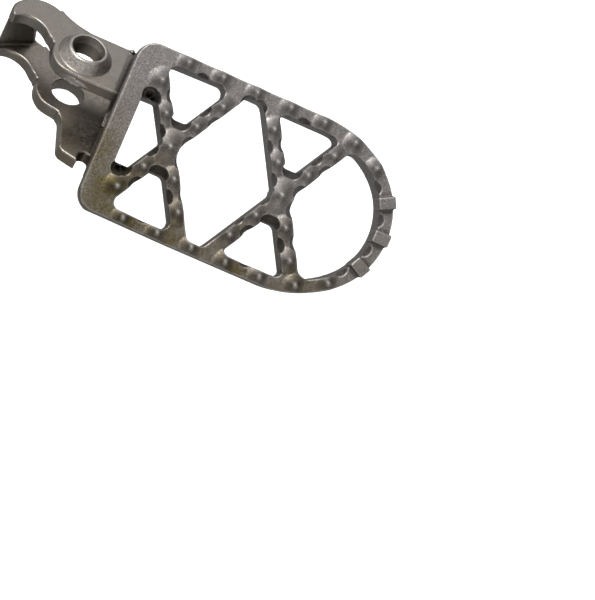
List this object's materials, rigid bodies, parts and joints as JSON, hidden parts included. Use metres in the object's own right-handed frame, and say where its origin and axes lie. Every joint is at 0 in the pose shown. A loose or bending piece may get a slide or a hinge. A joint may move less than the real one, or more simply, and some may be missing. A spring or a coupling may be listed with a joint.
{
  "type": "motorcycle foot peg",
  "caption": "Cast off-road foot peg: open toothed platform with crossed braces, on two slanted hinge ears with a bore for the pivot pin.",
  "frame": {"origin": "on the pivot axis, halfway between the outer faces of the hinge ears, boss included", "axes": "+X outboard along the length of the peg, +Y across it towards the far rail, +Z the normal of the platform, up through the teeth; the pivot axis leans 43.5 degrees from +Z towards +Y"},
  "size_m": [0.1271, 0.0525, 0.0422],
  "materials": {
    "blasted_cast_steel": "investment cast, shot-blasted, grainy",
    "tooth_cast_steel": "investment cast, shot-blasted, bright worn tips",
    "satin_cast_steel": "cast, smoothed to a satin",
    "boss_cast_steel": "cast, rough-blasted"
  },
  "bodies": {
    "root": {"mount_bar": "blasted_cast_steel", "root_web": "satin_cast_steel", "far_gusset": "blasted_cast_steel", "near_gusset": "blasted_cast_steel", "far_rail": "blasted_cast_steel", "near_rail": "blasted_cast_steel", "far_bend": "blasted_cast_steel", "near_bend": "blasted_cast_steel", "nose_ring": "blasted_cast_steel", "inner_hub": "blasted_cast_steel", "inner_brace_1": "blasted_cast_steel", "inner_brace_2": "blasted_cast_steel", "inner_brace_3": "blasted_cast_steel", "inner_brace_4": "blasted_cast_steel", "outer_hub": "blasted_cast_steel", "outer_brace_1": "blasted_cast_steel", "outer_brace_2": "blasted_cast_steel", "outer_brace_3": "blasted_cast_steel", "outer_brace_4": "blasted_cast_steel", "upper_ear": "satin_cast_steel", "pivot_boss": "boss_cast_steel", "lower_ear": "satin_cast_steel", "stop_tab": "satin_cast_steel", "end_wall": "satin_cast_steel", "rail_teeth": "tooth_cast_steel", "bend_teeth": "tooth_cast_steel", "inner_brace_teeth": "tooth_cast_steel", "outer_brace_teeth": "tooth_cast_steel", "nose_lugs": "tooth_cast_steel"}
  },
  "joints": []
}
